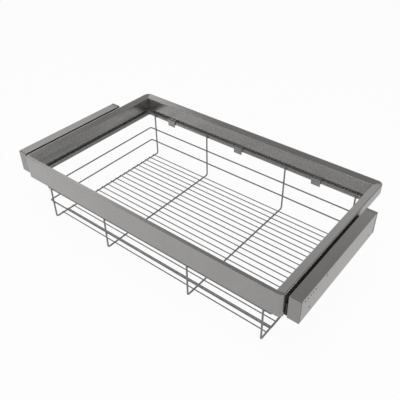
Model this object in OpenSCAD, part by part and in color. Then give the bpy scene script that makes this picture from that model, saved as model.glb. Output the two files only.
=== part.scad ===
// Pull-out wire drawer for a wardrobe or base cabinet, in millimetres, +Z up.
// Front towards -Y. The origin is on the surface under the middle of the drawer.

/* [Overall size] */

// clear width of the cabinet opening, outer face to outer face of the side boxes
total_w = 864; // [780:1:1160]
// depth of the drawer frame, front face to back edge
frame_d = 468; // [450:1:540]
// height from the underside of the basket to the top of the frame
drawer_h = 192; // [160:1:260]

/* [Frame] */

// gap between the frame and each side box
side_gap = 7.5; // [7:0.5:10]
// height of the front rail's face
front_h = 62; // [60:1:90]
// thickness of the front rail
front_t = 10; // [9:0.5:14]
// wall thickness of the frame profiles
wall = 2; // [1.6:0.1:2.2]
// width of the top band of the side and rear rails
band_w = 22; // [22:0.5:26]
// how far the top band falls from its outer edge to its inner edge
band_drop = 3.6; // [2:0.2:6]
// height of the outer lip of the side and rear rails
lip_h = 25; // [20:1:27]
// depth of the inner face of the side and rear rails
inner_h = 39; // [36:1:42]
// depth of the ledge that carries the basket, below the frame's top
ledge_down = 52; // [50:1:54]
// how far the ledge reaches inwards from the frame's outer edge
ledge_w = 26; // [25:0.5:28]
// height of the ledge's inner lip
ledge_lip = 6; // [4:0.5:8]
// width of the level strip along the band's outer edge
band_flat = 5.2; // [5:0.1:7]
// plan radius of the two rear corners
rear_r = 16; // [8:1:16]

/* [Side boxes] */

// width of one side box
box_w = 27.5; // [24:0.5:40]
// height of one side box
box_h = 60; // [60:1:64]
// length of one side box with its end caps
box_l = 342; // [308:1:400]
// set-back of the side box behind the front face
box_back = 9; // [4:1:20]
// wall thickness of the side box
box_wall = 2; // [1.5:0.1:2.5]
// thickness of an end cap
cap_t = 2.5; // [2:0.1:4]
// radius of the screw holes in the outer wall
screw_hole_r = 2.25; // [1.5:0.05:2.5]
// pitch of the upper row of screw holes
row_pitch = 10; // [9:0.5:12]
// number of holes in the upper row
row_n = 5; // [2:1:6]

/* [Slides] */

// height of a slide
slide_h = 30; // [29:0.5:30]
// thickness of a slide, box side to drawer side
slide_t = 16; // [16:0.5:16.5]
// sheet thickness of the slide flanges
slide_s = 1.2; // [1:0.1:1.3]
// radius of a ball
ball_r = 1.5; // [1.3:0.05:1.55]
// number of balls in one row
ball_n = 7; // [3:1:8]
// distance between the balls of a row
ball_pitch = 20; // [12:1:20]

/* [Basket] */

// diameter of the cross wires and of the rim wire
wire_d = 4.5; // [4:0.5:6]
// diameter of the two perimeter rings
ring_d = 4; // [3:0.5:5]
// diameter of the floor wires
floor_d = 3; // [2:0.5:3.5]
// number of floor wires
floor_n = 21; // [11:2:21]
// distance between floor wires
floor_pitch = 18.7; // [10:0.1:18.7]
// distance of the two outer cross wires from the middle
cross_out = 343; // [300:1:346]
// distance of the two inner cross wires from the middle
cross_in = 135.5; // [80:0.5:200]
// half length of the two perimeter rings
ring_x = 362; // [350:1:366]
// depth of the upper ring below the frame's top
ring_hi_down = 98.5; // [85:0.5:110]
// depth of the lower ring below the frame's top
ring_lo_down = 143; // [125:0.5:150]
// bend radius of the wires
bend_r = 5; // [4:0.5:9]
// how far the basket reaches towards the front rail past the line that mirrors its rear
front_shift = 6.2; // [0:0.1:7]
// width of a basket clip
clip_w = 27; // [20:1:30]

/* [Hidden] */

// how deep a weld sinks one wire into the next
weld = 0.3;
// play around screw shanks and plug-in caps
play = 0.1;
// half sizes of the frame and height levels
fw = total_w/2 - side_gap - box_w;
fy = frame_d/2;
top = drawer_h;
box_x = total_w/2 - box_w;
box_y0 = -fy + box_back;
box_top = top - 0.5;
// centre height of the slides and front end of their members
slide_z = top - 44.5;
slide_y0 = box_y0 + cap_t + 0.5;
slide_l = box_l - 2*cap_t;
move_l = slide_l - 7;
hs = slide_h/2;
// inner line of the basket: rim wire, uprights and rings, inwards from the frame edge
rim_in = band_w + wire_d/2 + 0.8;
up_in = rim_in + wire_d - weld;
ring_in = up_in + wire_d/2 + ring_d/2 - weld;
rim_z = top - ledge_down + wire_d/2;
grow = front_shift/2;
up_y = fy - up_in + grow;
row_y = box_y0 + 17;
row_z = top - 10;
low_y = box_y0 + 38;
low_pitch = box_l - 74;
far_y = box_y0 + 103;
clip_x = [-275, -23, 229];
spacer_y = [box_y0 + 50, box_y0 + box_l - 92];
fix_y = [for (k = [-1:1]) box_y0 + box_l/2 + 1 + k*(box_l - 78)/3];
grey = [0.53, 0.52, 0.50];
dark = [0.36, 0.36, 0.36];
steel = [0.72, 0.73, 0.74];
plastic = [0.30, 0.30, 0.31];

// sub-part to draw, or all of them

// profiles, drawn with X inwards from the outer edge and Y up from the frame's top

module side_profile() {
    polygon([[0, -lip_h], [0, -1.2], [0.4, -0.4], [1.2, 0], [band_flat, 0], [band_w - 2, -band_drop],
        [band_w - 0.6, -band_drop - 0.6], [band_w, -band_drop - 2], [band_w, -inner_h],
        [16 + wall, -inner_h], [16 + wall, -ledge_down], [ledge_w, -ledge_down],
        [ledge_w, -ledge_down - ledge_lip], [ledge_w - wall, -ledge_down - ledge_lip],
        [ledge_w - wall, -ledge_down - wall], [16, -ledge_down - wall], [16, -inner_h + wall],
        [band_w - wall, -inner_h + wall], [band_w - wall, -band_drop - wall - 0.4],
        [band_flat, -wall], [wall, -wall], [wall, -lip_h]]);
}

// lip and level strip for the round corner of radius rear_r, with X out from its centre
module corner_profile() {
    r = rear_r;
    polygon([[r, -lip_h], [r, -1.2], [r - 0.4, -0.4], [r - 1.2, 0], [r - wall - 0.2, 0],
        [r - wall - 0.2, -wall], [r - wall, -wall], [r - wall, -lip_h]]);
}

module front_skin() {
    polygon([[0, -front_h], [0, -1.2], [0.4, -0.4], [1.2, 0], [front_t - 1.2, 0],
        [front_t - 0.4, -0.4], [front_t, -1.2], [front_t, -front_h]]);
}

module front_hollow() {
    polygon([[wall, -front_h + wall], [wall, -wall], [front_t - wall, -wall],
        [front_t - wall, -front_h + wall]]);
}

module front_ledge() {
    w = ledge_w - front_shift;
    polygon([[front_t, -ledge_down], [w, -ledge_down], [w, -ledge_down - ledge_lip],
        [w - wall, -ledge_down - ledge_lip], [w - wall, -ledge_down - wall],
        [front_t, -ledge_down - wall]]);
}

// straight run along +X of a profile whose inward side is +Y
module run(l) {
    rotate([90, 0, 90]) linear_extrude(l) children();
}

// round corner about the origin, over the angle a from the direction a0
module turn(a0, a) {
    rotate([0, 0, a0]) rotate_extrude(angle = a) children();
}

module flip(r) {
    translate([r, 0]) mirror([1, 0]) children();
}

// both signs of X
module both() {
    children();
    mirror([1, 0, 0]) children();
}

// frame

module front_rail() {
    color(grey) translate([0, -fy, top]) difference() {
        union() {
            translate([-fw + front_t, 0, 0]) run(2*(fw - front_t)) front_skin();
            translate([-fw + ledge_w, 0, 0]) run(2*(fw - ledge_w)) front_ledge();
            both() translate([fw - front_t, front_t, 0]) turn(-90, 90) flip(front_t) front_skin();
        }
        translate([-fw + front_t, 0, 0]) run(2*(fw - front_t)) front_hollow();
        both() translate([fw - front_t, front_t, 0]) turn(-90, 90) flip(front_t) front_hollow();
        both() for (z = [-16, -28]) translate([fw - 9, front_t, z])
            rotate([90, 0, 0]) cylinder(h = 2*wall + 0.2, r = 1.5 + play, center = true, $fn = 24);
    }
}

// what a round corner takes off a mitred end
module corner_bite() {
    difference() {
        translate([-2, -2, -100]) cube([rear_r + 2, rear_r + 2, 200]);
        translate([rear_r, rear_r, -100]) cylinder(h = 200, r = rear_r - wall - 0.1, $fn = 64);
    }
}

// straight rail from l0 to l1 without what the round corners take; bite0 is true for two such ends
module rail_run(l0, l1, bite0) {
    difference() {
        translate([l0, 0, 0]) run(l1 - l0) side_profile();
        if (bite0) translate([l0, 0, 0]) corner_bite();
        translate([l1, 0, 0]) mirror([1, 0, 0]) corner_bite();
    }
}

module rear_rail() {
    color(grey) translate([0, 0, top]) difference() {
        intersection() {
            union() {
                translate([0, fy, 0]) rotate([0, 0, 180]) rail_run(-fw, fw, true);
                both() translate([fw - rear_r, fy - rear_r, 0]) turn(0, 90) corner_profile();
            }
            linear_extrude(200, center = true) polygon([[-fw - 1, fy + 1], [fw + 1, fy + 1],
                [fw - 40, fy - 40], [-fw + 40, fy - 40]]);
        }
        both() for (y = [34, 52], z = [-16, -28]) translate([fw - y, fy - band_w + wall, z])
            rotate([90, 0, 0]) cylinder(h = 2*wall + 1, r = 1.5 + play, center = true, $fn = 24);
    }
}

// side rail on the +X side
module side_rail() {
    color(grey) translate([0, 0, top]) difference() {
        intersection() {
            union() {
                translate([fw, 0, 0]) rotate([0, 0, 90]) rail_run(-fy + front_t, fy, false);
                translate([fw - rear_r, fy - rear_r, 0]) turn(0, 90) corner_profile();
            }
            linear_extrude(200, center = true) polygon([[fw + 1, fy + 1], [fw + 1, -fy],
                [fw - 40, -fy], [fw - 40, fy - 40]]);
        }
        for (y = [-fy + front_t + 16, -fy + front_t + 34, fy - 34, fy - 52], z = [-16, -28])
            translate([fw - band_w + wall, y, z]) rotate([0, 90, 0])
                cylinder(h = 2*wall + 1, r = 1.5 + play, center = true, $fn = 24);
        for (y = spacer_y, d = [-20, 20]) translate([fw - 17, y + d, -44.5]) rotate([0, 90, 0])
            cylinder(h = 2*wall + 2, r = 1.5 + play, center = true, $fn = 24);
    }
}

module left_side_rail() { mirror([1, 0, 0]) side_rail(); }
module right_side_rail() { side_rail(); }

// angle inside the hollow of the right side rail, one leg on the front rail
module front_bracket() {
    bx = fw - band_w + wall;
    difference() {
        union() {
            translate([bx, -fy + front_t, top - 35]) cube([band_w - 2*wall - 1, 2, 26]);
            translate([bx, -fy + front_t, top - 35]) cube([2, 44, 26]);
        }
        for (z = [-16, -28]) translate([fw - 9, -fy + front_t + 1, top + z]) rotate([90, 0, 0])
            cylinder(h = 4, r = 1.5 + play, center = true, $fn = 24);
        for (y = [16, 34], z = [-16, -28]) translate([bx + 1, -fy + front_t + y, top + z])
            rotate([0, 90, 0]) cylinder(h = 4, r = 1.5 + play, center = true, $fn = 24);
    }
}

module rear_bracket() {
    bx = fw - band_w + wall;
    by = fy - band_w + wall;
    difference() {
        union() {
            translate([bx, by - 44, top - 35]) cube([2, 46, 26]);
            translate([bx - 44, by, top - 35]) cube([46, 2, 26]);
        }
        for (y = [34, 52], z = [-16, -28]) {
            translate([bx + 1, fy - y, top + z]) rotate([0, 90, 0])
                cylinder(h = 4, r = 1.5 + play, center = true, $fn = 24);
            translate([fw - y, by + 1, top + z]) rotate([90, 0, 0])
                cylinder(h = 4, r = 1.5 + play, center = true, $fn = 24);
        }
    }
}

module front_corner_brackets() { color(steel) both() front_bracket(); }
module rear_corner_brackets() { color(steel) both() rear_bracket(); }

// pan-head screw: head under the origin side +Z, shank of length l towards -Z
module screw(l, head_r, head_h) {
    cylinder(h = head_h, r = head_r, $fn = 32);
    translate([0, 0, -l]) cylinder(h = l + 0.01, r = 1.5, $fn = 24);
}

module corner_screws() {
    bx = fw - band_w + wall + 2;
    by = fy - band_w + wall + 2;
    color(steel) both() for (z = [-16, -28]) {
        translate([fw - 9, -fy + front_t + 2, top + z]) rotate([-90, 0, 0]) screw(3.9, 2.8, 1.6);
        for (y = [-fy + front_t + 16, -fy + front_t + 34, fy - 34, fy - 52])
            translate([bx, y, top + z]) rotate([0, 90, 0]) screw(3.9, 2.8, 1.6);
        for (y = [34, 52]) translate([fw - y, by, top + z]) rotate([-90, 0, 0]) screw(3.9, 2.8, 1.6);
    }
}

// side boxes, drawn on the +X side

module box_holes(r, x) {
    for (i = [0:row_n - 1]) translate([x, row_y + i*row_pitch, row_z]) rotate([0, 90, 0])
        cylinder(h = 3*box_wall, r = r, center = true, $fn = 32);
    translate([x, far_y, row_z]) rotate([0, 90, 0])
        cylinder(h = 3*box_wall, r = r, center = true, $fn = 32);
    for (d = [0, low_pitch]) translate([x, low_y + d, slide_z]) rotate([0, 90, 0])
        cylinder(h = 3*box_wall, r = r, center = true, $fn = 32);
}

module side_box() {
    color(grey) difference() {
        translate([box_x, box_y0 + cap_t, box_top - box_h]) cube([box_w, box_l - 2*cap_t, box_h]);
        translate([box_x + box_wall, box_y0, box_top - box_h + box_wall])
            cube([box_w - 2*box_wall, box_l, box_h - 2*box_wall]);
        box_holes(screw_hole_r, total_w/2);
        box_holes(4, box_x);
        for (y = fix_y) translate([box_x, y, slide_z]) rotate([0, 90, 0])
            cylinder(h = 3*box_wall, r = 1.5 + play, center = true, $fn = 24);
    }
}

module left_side_box() { mirror([1, 0, 0]) side_box(); }
module right_side_box() { side_box(); }

// cap plate with a plug that sits inside the box; the plate's outer face is at y = 0
module cap() {
    translate([box_x, 0, box_top - box_h]) cube([box_w, cap_t, box_h]);
    translate([box_x + box_wall + play, cap_t - 0.01, box_top - box_h + box_wall + play])
        difference() {
            cube([box_w - 2*box_wall - 2*play, 8, box_h - 2*box_wall - 2*play]);
            translate([2, 0.01, 2]) cube([box_w - 2*box_wall - 2*play - 4, 9,
                box_h - 2*box_wall - 2*play - 4]);
        }
}

module front_cap() { color(grey) translate([0, box_y0, 0]) cap(); }
module rear_cap() {
    color(grey) translate([0, box_y0 + box_l, 0]) mirror([0, 1, 0]) cap();
}
module left_front_cap() { mirror([1, 0, 0]) front_cap(); }
module right_front_cap() { front_cap(); }
module left_rear_cap() { mirror([1, 0, 0]) rear_cap(); }
module right_rear_cap() { rear_cap(); }

// slides, drawn on the +X side; s runs from the box face towards the drawer

// channel from s0 to s1 of half height h; the mouth is on the drawer side when out is true
module channel(s0, s1, web, h, y0, l, lips, out) {
    translate([box_x, y0, slide_z]) mirror([1, 0, 0]) rotate([-90, 0, 0]) linear_extrude(l)
        difference() {
            translate([s0, -h]) square([s1 - s0, 2*h]);
            translate([out ? s0 + web : s0 - web, -h + slide_s])
                square([s1 - s0 - (lips > 0 ? slide_s + web : 0), 2*(h - slide_s)]);
            if (lips > 0) translate([s0 + web, -h + lips]) square([s1 - s0, 2*(h - lips)]);
        }
}

mid_h = hs - slide_s - 2*ball_r - 0.6;
in_h = mid_h - slide_s - 2*ball_r - 0.6;
row1_z = hs - slide_s - ball_r - 0.3;
row2_z = mid_h - slide_s - ball_r - 0.3;

module cabinet_member() {
    color(steel) difference() {
        channel(0, 13.5, 1.5, hs, slide_y0, slide_l, 2.2, true);
        for (d = [0, low_pitch]) translate([box_x, low_y + d, slide_z]) rotate([0, 90, 0])
            cylinder(h = 6, r = 4, center = true, $fn = 32);
        for (y = fix_y) translate([box_x, y, slide_z]) rotate([0, 90, 0])
            cylinder(h = 6, r = 1.5 + play, center = true, $fn = 24);
    }
}
module left_cabinet_member() { mirror([1, 0, 0]) cabinet_member(); }
module right_cabinet_member() { cabinet_member(); }

module box_screws() {
    color(steel) both() for (y = fix_y) translate([box_x - 1.5, y, slide_z])
        rotate([0, -90, 0]) screw(4.5, 3, 0.9);
}

module rear_bumpers() {
    color(plastic) both() translate([box_x - 12, slide_y0 + slide_l - 6, slide_z - 4])
        cube([10.5, 6, 8]);
}

module middle_member() {
    color(steel) channel(3.8, 13, 1.2, mid_h, slide_y0, move_l, 0, true);
}
module left_middle_member() { mirror([1, 0, 0]) middle_member(); }
module right_middle_member() { middle_member(); }

module drawer_member() {
    color(steel) difference() {
        channel(6.8, slide_t, 1.5, in_h, slide_y0, move_l, 0, false);
        for (y = spacer_y, d = [-20, 20]) translate([box_x - slide_t, y + d, slide_z])
            rotate([0, 90, 0]) cylinder(h = 6, r = 1.5 + play, center = true, $fn = 24);
    }
}
module left_drawer_member() { mirror([1, 0, 0]) drawer_member(); }
module right_drawer_member() { drawer_member(); }

cage_l = (ball_n - 1)*ball_pitch + 16;
cage_y = slide_y0 + 90;

module cage(s0, s1, z) {
    for (k = [-1, 1]) difference() {
        translate([box_x - s1, cage_y, slide_z + k*z - 0.4]) cube([s1 - s0, cage_l, 0.8]);
        balls(s1 - 3, z, ball_r + 0.1);
    }
    translate([box_x - s0 - 0.6, cage_y, slide_z - z - 0.4]) cube([0.6, cage_l, 2*z + 0.8]);
}

module balls(s, z, r) {
    for (i = [0:ball_n - 1], k = [-1, 1])
        translate([box_x - s, cage_y + 8 + i*ball_pitch, slide_z + k*z]) sphere(r = r, $fn = 20);
}

module outer_cage() { color(plastic) cage(2.8, 11.2, row1_z); }
module inner_cage() { color(plastic) cage(5.4, 12.5, row2_z); }
module left_outer_cage() { mirror([1, 0, 0]) outer_cage(); }
module right_outer_cage() { outer_cage(); }
module left_inner_cage() { mirror([1, 0, 0]) inner_cage(); }
module right_inner_cage() { inner_cage(); }
module left_outer_balls() { color(steel) mirror([1, 0, 0]) balls(8.2, row1_z, ball_r); }
module right_outer_balls() { color(steel) balls(8.2, row1_z, ball_r); }
module left_inner_balls() { color(steel) mirror([1, 0, 0]) balls(9.5, row2_z, ball_r); }
module right_inner_balls() { color(steel) balls(9.5, row2_z, ball_r); }

// blocks between the drawer member and the web of the side rail
module spacers() {
    x0 = fw - 16;
    x1 = box_x - slide_t;
    color(plastic) for (y = spacer_y) difference() {
        translate([x0, y - 32, slide_z - 6]) cube([x1 - x0, 64, 11]);
        for (d = [-20, 20]) translate([x0, y + d, slide_z]) rotate([0, 90, 0])
            cylinder(h = 30, r = 1.5 + play, center = true, $fn = 24);
    }
}
module left_spacers() { mirror([1, 0, 0]) spacers(); }
module right_spacers() { spacers(); }

module spacer_screws() {
    x1 = box_x - slide_t + 1.5;
    color(steel) both() for (y = spacer_y, d = [-20, 20]) translate([x1, y + d, slide_z])
        rotate([0, 90, 0]) screw(x1 - fw + 16 + wall, 2.8, 1.6);
}

// basket

// closed rectangular ring of round wire, half sizes to the wire's centre
module ring(hx, hy, r, d) {
    for (a = [0, 180]) rotate([0, 0, a]) {
        translate([-(hx - r), -hy, 0]) rotate([0, 90, 0]) cylinder(h = 2*(hx - r), d = d, $fn = 24);
        translate([hx, -(hy - r), 0]) rotate([-90, 0, 0]) cylinder(h = 2*(hy - r), d = d, $fn = 24);
        translate([hx - r, hy - r, 0]) rotate_extrude(angle = 90) translate([r, 0]) circle(d = d, $fn = 24);
        translate([-(hx - r), hy - r, 0]) rotate([0, 0, 90]) rotate_extrude(angle = 90)
            translate([r, 0]) circle(d = d, $fn = 24);
    }
}

module rim_wire() {
    color(dark) translate([0, -grow, rim_z]) ring(fw - rim_in, fy - rim_in + grow, bend_r, wire_d);
}
module side_ring(down) {
    color(dark) translate([0, -grow, top - down]) ring(ring_x, fy - ring_in + grow, bend_r, ring_d);
}
module upper_ring() { side_ring(ring_hi_down); }
module lower_ring() { side_ring(ring_lo_down); }

// U-shaped wire in the plane x = 0
module cross_wire() {
    z0 = wire_d/2;
    for (k = [0, 1]) mirror([0, k, 0]) {
        translate([0, up_y, z0 + bend_r]) cylinder(h = rim_z + wire_d/2 - z0 - bend_r, d = wire_d, $fn = 24);
        translate([0, up_y - bend_r, z0 + bend_r]) mirror([0, 0, 1]) rotate([90, 0, 90])
            rotate_extrude(angle = 90) translate([bend_r, 0]) circle(d = wire_d, $fn = 24);
    }
    translate([0, -(up_y - bend_r), z0]) rotate([-90, 0, 0])
        cylinder(h = 2*(up_y - bend_r), d = wire_d, $fn = 24);
}

module cross_wires() {
    color(dark) for (x = [-cross_out, -cross_in, cross_in, cross_out])
        translate([x, -grow, 0]) cross_wire();
}

module floor_wires() {
    z = wire_d + floor_d/2 - weld;
    color(dark) for (i = [0:floor_n - 1])
        translate([-cross_out - 1, (i - (floor_n - 1)/2)*floor_pitch - grow, z])
            rotate([0, 90, 0]) cylinder(h = 2*cross_out + 2, d = floor_d, $fn = 24);
}

// clip over the rim wire and around the ledge's lip, at the rear
module basket_clips() {
    t = 1.4;
    a = rim_in + wire_d/2 + 0.3;
    color(grey) for (x = clip_x) translate([x - clip_w/2, fy, top]) {
        translate([0, -a - t, -67]) cube([clip_w, t, 67 - ledge_down + wire_d + 0.3 + t]);
        translate([0, -a - t, -ledge_down + wire_d + 0.3]) cube([clip_w, 9, t]);
        translate([0, -a - t, -ledge_down - ledge_lip - t]) cube([clip_w, 9, t]);
    }
}

front_rail();
rear_rail();
left_side_rail();
right_side_rail();
front_corner_brackets();
rear_corner_brackets();
corner_screws();
left_side_box();
right_side_box();
left_front_cap();
right_front_cap();
left_rear_cap();
right_rear_cap();
left_cabinet_member();
right_cabinet_member();
box_screws();
rear_bumpers();
left_middle_member();
right_middle_member();
left_outer_cage();
right_outer_cage();
left_outer_balls();
right_outer_balls();
left_inner_cage();
right_inner_cage();
left_inner_balls();
right_inner_balls();
left_drawer_member();
right_drawer_member();
left_spacers();
right_spacers();
spacer_screws();
rim_wire();
upper_ring();
lower_ring();
cross_wires();
floor_wires();
basket_clips();
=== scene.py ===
"""Looks of the pull-out wire drawer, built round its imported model, in metres, +Z up."""

import math

import bmesh
import bpy
from mathutils import Matrix, Vector


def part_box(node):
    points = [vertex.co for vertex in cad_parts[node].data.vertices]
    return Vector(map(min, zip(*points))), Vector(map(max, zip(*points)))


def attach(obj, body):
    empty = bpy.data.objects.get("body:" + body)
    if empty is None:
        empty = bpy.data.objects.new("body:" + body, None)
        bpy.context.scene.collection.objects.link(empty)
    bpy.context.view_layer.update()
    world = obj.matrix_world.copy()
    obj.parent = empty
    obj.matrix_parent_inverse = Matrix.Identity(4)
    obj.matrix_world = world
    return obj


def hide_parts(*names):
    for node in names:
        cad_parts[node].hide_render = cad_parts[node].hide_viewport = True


bl_info = {
    "name": "Pull-out wire drawer",
    "version": (1, 0, 0),
    "blender": (4, 5, 0),
    "location": "View3D > Sidebar > Wire drawer",
    "description": "Finishes and detail pieces of a pull-out drawer with a wire basket",
    "category": "Object",
}

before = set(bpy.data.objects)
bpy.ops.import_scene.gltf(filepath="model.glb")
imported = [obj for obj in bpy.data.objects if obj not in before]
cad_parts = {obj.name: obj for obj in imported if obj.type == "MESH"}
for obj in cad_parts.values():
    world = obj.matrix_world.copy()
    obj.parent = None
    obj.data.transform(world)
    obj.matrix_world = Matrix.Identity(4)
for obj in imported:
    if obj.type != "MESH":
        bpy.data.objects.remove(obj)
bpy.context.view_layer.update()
MM = 0.001


# shader expressions


class Sum:
    """A socket that takes part in arithmetic: each sum adds its own Math node."""

    def __init__(self, coat, socket):
        self.coat, self.socket = coat, socket

    def _math(self, operation, first, second):
        return self.coat.node("ShaderNodeMath", {"operation": operation}, first, second)

    def __add__(self, other):
        return self._math("ADD", self, other)

    def __radd__(self, other):
        return self._math("ADD", other, self)

    def __sub__(self, other):
        return self._math("SUBTRACT", self, other)

    def __rsub__(self, other):
        return self._math("SUBTRACT", other, self)

    def __mul__(self, other):
        return self._math("MULTIPLY", self, other)

    def __rmul__(self, other):
        return self._math("MULTIPLY", other, self)


class Coat:
    """A material under construction, with one principled shader."""

    def __init__(self, name):
        self.material = bpy.data.materials.new(name)
        self.material.use_nodes = True
        self.tree = self.material.node_tree
        self.shader = self.tree.nodes["Principled BSDF"]
        self.place = self.node("ShaderNodeTexCoord", {}, out="Object")

    def node(self, kind, settings, *values, out=0, **named):
        """Adds a node: its settings first, then values or links for its sockets."""
        made = self.tree.nodes.new(kind)
        for key, value in settings.items():
            if key == "stops":
                ramp = made.color_ramp.elements
                while len(ramp) < len(value):
                    ramp.new(0.5)
                for stop, (where, tone) in zip(ramp, value):
                    stop.position, stop.color = where, (*tone, 1)
            else:
                setattr(made, key, value)
        wanted = [(i, v) for i, v in enumerate(values)] + list(named.items())
        for key, value in wanted:
            if isinstance(key, str):
                key = key.replace("_", " ")
            self.feed(made.inputs[key], value)
        return Sum(self, made.outputs[out])

    def feed(self, socket, value):
        """Links a socket to a sum, or gives it a plain value."""
        if isinstance(value, Sum):
            self.tree.links.new(value.socket, socket)
        else:
            socket.default_value = value

    def noise(self, scale, detail=2.0, rough=0.5, place=None):
        """Noise in the object's own space, or in another."""
        return self.node(
            "ShaderNodeTexNoise", {"noise_dimensions": "3D"}, Vector=place or self.place,
            Scale=scale, Detail=detail, Roughness=rough,
        )

    def blend(self, share, first, second):
        """A colour between two, by a share."""
        made = self.tree.nodes.new("ShaderNodeMix")
        made.data_type = "RGBA"
        self.feed(made.inputs[0], share)
        for socket, value in ((made.inputs[6], first), (made.inputs[7], second)):
            self.feed(socket, value if isinstance(value, Sum) else (*value, 1))
        return Sum(self, made.outputs[2])

    def ramp(self, value, low, high, to_low=0.0, to_high=1.0):
        """Goes evenly from one result to the other between two values, and stays there."""
        return self.node("ShaderNodeMapRange", {"clamp": True}, value, low, high, to_low, to_high)

    def set(self, **named):
        """Feeds the shader's sockets, by name."""
        for key, value in named.items():
            self.feed(self.shader.inputs[key.replace("_", " ")], value)

    def bump(self, height, strength, distance):
        """Fine relief that only the light sees."""
        made = self.node(
            "ShaderNodeBump", {}, Strength=strength, Distance=distance, Height=height,
        )
        self.feed(self.shader.inputs["Normal"], made)


def linear(tone):
    """A screen tone, 0 to 255, as a linear value."""
    t = tone / 255
    return t / 12.92 if t <= 0.04045 else ((t + 0.055) / 1.055) ** 2.4


def grey(tone, warm=0.0):
    """A grey of that screen tone; warm adds that many steps of red and takes them from blue."""
    return (linear(tone + warm), linear(tone), linear(tone - warm))


# How fine the noise of the rolled lines is across and along a rail, in cells per metre.
LINES_ACROSS = 170
LINES_ALONG = 5
# Share of the painted shade on the inner faces that the rear rail gets; the side rails get all of
# it.
REAR_INNER_SHADE = 0.32
# Steps of screen tone from the rails' body to the lines, the painted shade of the inner faces, the
# painted light in the rear recess, and the flake.
LINE_STEP = -26
INNER_SHADE_STEP = -46
RECESS_LIGHT_STEP = 38
FLAKE_STEP = 16
# Shares that the lines and the flake have of the body's colour.
LINE_SHARE = 0.14
FLAKE_SHARE = 0.35


def rolled_lines_and_painted_light(c, half_width, half_depth, band, recess):
    """Lines along the frame's rails, painted shade on its inner faces, and painted light in the
    rear rail's recess.
    """
    parts = c.node("ShaderNodeSeparateXYZ", {}, c.place).socket.node.outputs
    x, y, z = (Sum(c, part) for part in parts)
    across = half_width - c.node("ShaderNodeMath", {"operation": "ABSOLUTE"}, x)
    from_rear = half_depth - y
    depth = c.node("ShaderNodeMath", {"operation": "MINIMUM"}, across, from_rear)
    spread = c.node(
        "ShaderNodeCombineXYZ", {}, LINES_ACROSS * depth, LINES_ALONG * (x + y), LINES_ACROSS * z,
    )
    lines = c.ramp(c.noise(1.0, 2.0, 0.6, spread), 0.34, 0.66)
    # Painted shade: the inner faces behind the front rail's face are darker, with less of it on
    # the rear rail.
    inner = c.ramp(depth, band - 1.2 * MM, band - 0.4 * MM)
    face = FRONT_DEPTH * MM - half_depth
    behind_face = c.ramp(y, face - 0.1 * MM, face + 0.1 * MM)
    side = c.ramp(across, band + 5 * MM, band + 7 * MM, 1.0, REAR_INNER_SHADE)
    # Painted light: the rear rail's recess under its inner face is made lighter.
    low = c.ramp(z, recess - 0.8 * MM, recess, 1.0, 0.0)
    back = c.ramp(from_rear, band - 0.8 * MM, band - 0.2 * MM, 1.0, 0.0)
    return lines, inner * behind_face * side, low * back


def powder_coat(name, tone, warm, metallic, rough, peel, rails=None):
    """Satin metallic powder coat: fine orange peel, small drifts of tone and gloss, fine flake."""
    c = Coat(name)
    drift = c.ramp(c.noise(9, 3.0), 0.3, 0.7)
    speck = c.ramp(c.noise(2600, 1.0), 0.42, 0.62)
    body = c.blend(drift, grey(tone - 3, warm), grey(tone + 3, warm))
    if rails:
        lines, inner, recess = rolled_lines_and_painted_light(c, *rails)
        body = c.blend(LINE_SHARE * lines, body, grey(tone + LINE_STEP, warm))
        # Painted shade on the rails' inner faces.
        body = c.blend(inner * (0.6 + 0.4 * lines), body, grey(tone + INNER_SHADE_STEP))
        # Painted light in the rear rail's recess.
        body = c.blend(recess, body, grey(tone + RECESS_LIGHT_STEP, warm))
    flaked = c.blend(speck * FLAKE_SHARE, body, grey(tone + FLAKE_STEP, warm))
    peel_height = c.noise(620, 2.0, 0.55) + 0.25 * c.noise(2100, 1.0)
    c.set(
        Base_Color=flaked, Metallic=metallic,
        Roughness=rough + 0.06 * (drift - 0.5) + 0.05 * (speck - 0.5),
    )
    c.bump(peel_height, peel, 0.00012)
    return c.material


def zinc_steel(name, tone):
    """Zinc-plated rolled steel: fine rolling lines along the slide, soft blotches."""
    c = Coat(name)
    stretched = c.node(
        "ShaderNodeMapping", {}, Vector=c.place, Scale=(900.0, 14.0, 900.0),
    )
    lines = c.ramp(c.noise(1.0, 3.0, 0.6, stretched), 0.3, 0.7)
    blotch = c.ramp(c.noise(60, 3.0), 0.35, 0.65)
    c.set(
        Base_Color=c.blend(blotch, grey(tone - 8), grey(tone + 8)), Metallic=1.0,
        Roughness=0.27 + 0.1 * blotch + 0.06 * lines,
    )
    c.bump(lines, 0.12, 0.00005)
    return c.material


def dark_plastic(name, tone):
    """Moulded plastic with a fine spark-eroded grain."""
    c = Coat(name)
    grain = c.noise(1800, 2.0)
    c.set(
        Base_Color=c.blend(c.ramp(grain, 0.3, 0.7), grey(tone - 3), grey(tone + 4)),
        Roughness=0.45 + 0.15 * grain,
    )
    c.bump(grain, 0.2, 0.00008)
    return c.material


# sizes and colours that a user would change


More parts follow.
